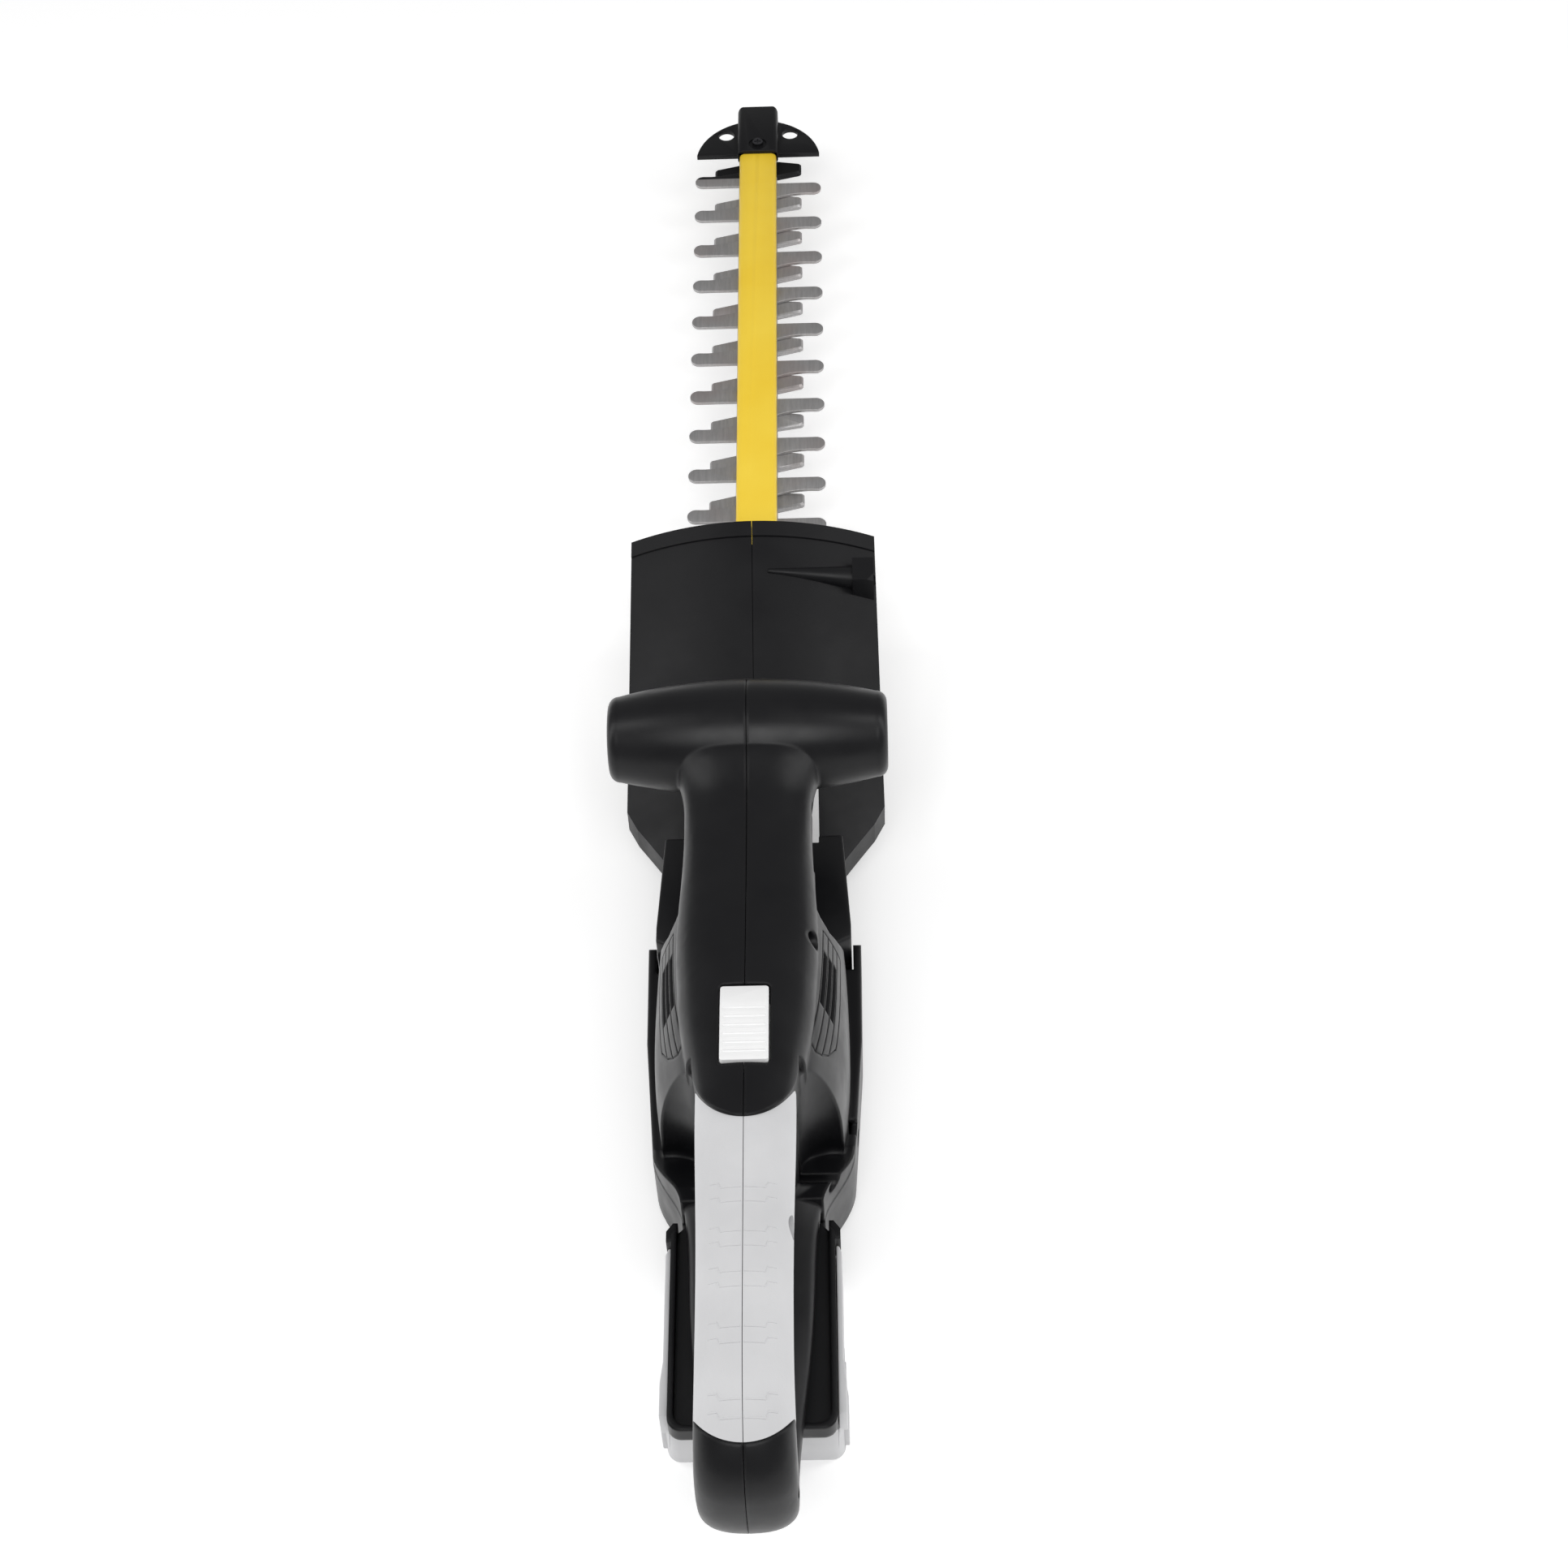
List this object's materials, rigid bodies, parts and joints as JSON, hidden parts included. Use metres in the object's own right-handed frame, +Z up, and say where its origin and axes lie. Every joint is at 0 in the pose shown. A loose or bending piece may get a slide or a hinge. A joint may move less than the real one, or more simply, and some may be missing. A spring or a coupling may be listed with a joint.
{
  "type": "cordless hedge trimmer",
  "caption": "Battery hedge trimmer with a double-sided blade, yellow blade bar, sloped hand guard, T-bar front handle and closed rear handle with a slide-on battery.",
  "frame": {"origin": "on the floor, below the middle of the trimmer's length, on its centre plane", "axes": "+Y towards the blade tip, +X to the user's right, +Z up"},
  "size_m": [0.129, 0.9204, 0.147],
  "materials": {
    "black_shell": "satin moulded black plastic",
    "guard_plastic": "satin moulded black plastic",
    "grey_grip": "soft matt overmould",
    "rubber": "matt",
    "dark_screw": "black oxide",
    "zinc_steel": "zinc plated",
    "motor_plastic": "moulded",
    "magnet": "ferrite",
    "carbon": "pressed carbon",
    "brass": "plain",
    "bearing_steel": "ground",
    "lamination": "stacked sheet",
    "copper": "enamelled copper",
    "gear_steel": "oiled",
    "blade_steel": "ground and satin",
    "yellow_paint": "satin powder coat",
    "white_button": "matt",
    "spring_steel": "drawn wire",
    "trigger_plastic": "satin",
    "switch_plastic": "moulded",
    "board": "lacquered board",
    "battery_black": "satin",
    "battery_grey": "satin light grey",
    "latch_grey": "satin light grey",
    "cell_wrap": "shrink wrap"
  },
  "bodies": {
    "trimmer": {"battery_dock": "black_shell", "blade_bar": "yellow_paint", "blade_bolts": "zinc_steel", "blade_nuts": "zinc_steel", "blade_washers": "zinc_steel", "brush_holders": "brass", "brushes": "carbon", "control_board": "board", "crank_bushes": "brass", "gear_case_screws": "dark_screw", "gear_cover": "black_shell", "gear_housing": "black_shell", "grip_left": "grey_grip", "grip_right": "grey_grip", "guard_left": "guard_plastic", "guard_right": "guard_plastic", "guard_screws": "dark_screw", "housing_left": "black_shell", "housing_right": "black_shell", "housing_screws": "dark_screw", "lock_off_spring": "spring_steel", "lower_strip": "blade_steel", "magnets": "magnet", "motor_bearings": "bearing_steel", "motor_can": "zinc_steel", "motor_end_cap": "motor_plastic", "rubber_feet": "rubber", "switch_module": "switch_plastic", "tip_guard": "guard_plastic", "tip_screw": "dark_screw", "tool_contacts": "brass", "top_comb": "blade_steel", "trigger_pin": "zinc_steel", "trigger_spring": "spring_steel"},
    "crank": {"crank_gear": "gear_steel", "crank_shaft": "bearing_steel", "upper_eccentric": "gear_steel", "lower_eccentric": "gear_steel"},
    "rotor": {"motor_shaft": "bearing_steel", "armature": "lamination", "windings": "copper", "commutator": "copper", "cooling_fan": "motor_plastic", "pinion": "bearing_steel"},
    "upper_blade": {"upper_cutter": "blade_steel"},
    "lower_blade": {"lower_cutter": "blade_steel"},
    "trigger_lever": {"trigger": "trigger_plastic"},
    "lock_off": {"lock_off_slide": "white_button"},
    "battery": {"battery_top_shell": "battery_black", "battery_bottom_shell": "battery_grey", "battery_cells": "cell_wrap", "cell_straps": "zinc_steel", "latch_spring_left": "spring_steel", "latch_spring_right": "spring_steel"},
    "left_latch": {"battery_latch_left": "latch_grey"},
    "right_latch": {"battery_latch_right": "latch_grey"}
  },
  "joints": [
    {"name": "crank_turn", "type": "hinge", "parent": "trimmer", "child": "crank", "pos_m": [0, -0.155, 0.05], "axis": [0, 0, 1], "range_deg": [-90, 90]},
    {"name": "rotor_spin", "type": "hinge", "parent": "trimmer", "child": "rotor", "pos_m": [0, -0.183, 0.08], "axis": [0, 0, 1], "range_deg": [-360, 360]},
    {"name": "upper_blade_stroke", "type": "slide", "parent": "trimmer", "child": "upper_blade", "axis": [0, 1, 0], "range_m": [-0.0065, 0.0065]},
    {"name": "lower_blade_stroke", "type": "slide", "parent": "trimmer", "child": "lower_blade", "axis": [0, 1, 0], "range_m": [-0.0065, 0.0065]},
    {"name": "trigger_pull", "type": "hinge", "parent": "trimmer", "child": "trigger_lever", "pos_m": [0, -0.3065, 0.1095], "axis": [-1, 0, 0], "range_deg": [0, 6], "stiffness_Nm_per_rad": 0.25, "springref_deg": -11.46, "deforming": ["trigger_spring"]},
    {"name": "lock_off_push", "type": "slide", "parent": "trimmer", "child": "lock_off", "axis": [0, 1, 0], "range_m": [0, 0.0022], "stiffness_N_per_m": 300, "springref_m": -0.003, "deforming": ["lock_off_spring"]},
    {"name": "battery_slide", "type": "slide", "parent": "trimmer", "child": "battery", "axis": [0, -1, 0], "range_m": [0, 0.11]},
    {"name": "left_latch_press", "type": "slide", "parent": "battery", "child": "left_latch", "axis": [1, 0, 0], "range_m": [0, 0.0022], "stiffness_N_per_m": 500, "springref_m": -0.002, "deforming": ["latch_spring_left"]},
    {"name": "right_latch_press", "type": "slide", "parent": "battery", "child": "right_latch", "axis": [-1, 0, 0], "range_m": [0, 0.0022], "stiffness_N_per_m": 500, "springref_m": -0.002, "deforming": ["latch_spring_right"]}
  ],
  "couplings": [
    {"joint": "rotor_spin", "follows": "crank_turn", "ratio": -4},
    {"joint": "upper_blade_stroke", "follows": "crank_turn", "m_per_rad": 0.004138},
    {"joint": "lower_blade_stroke", "follows": "crank_turn", "m_per_rad": -0.004138}
  ]
}
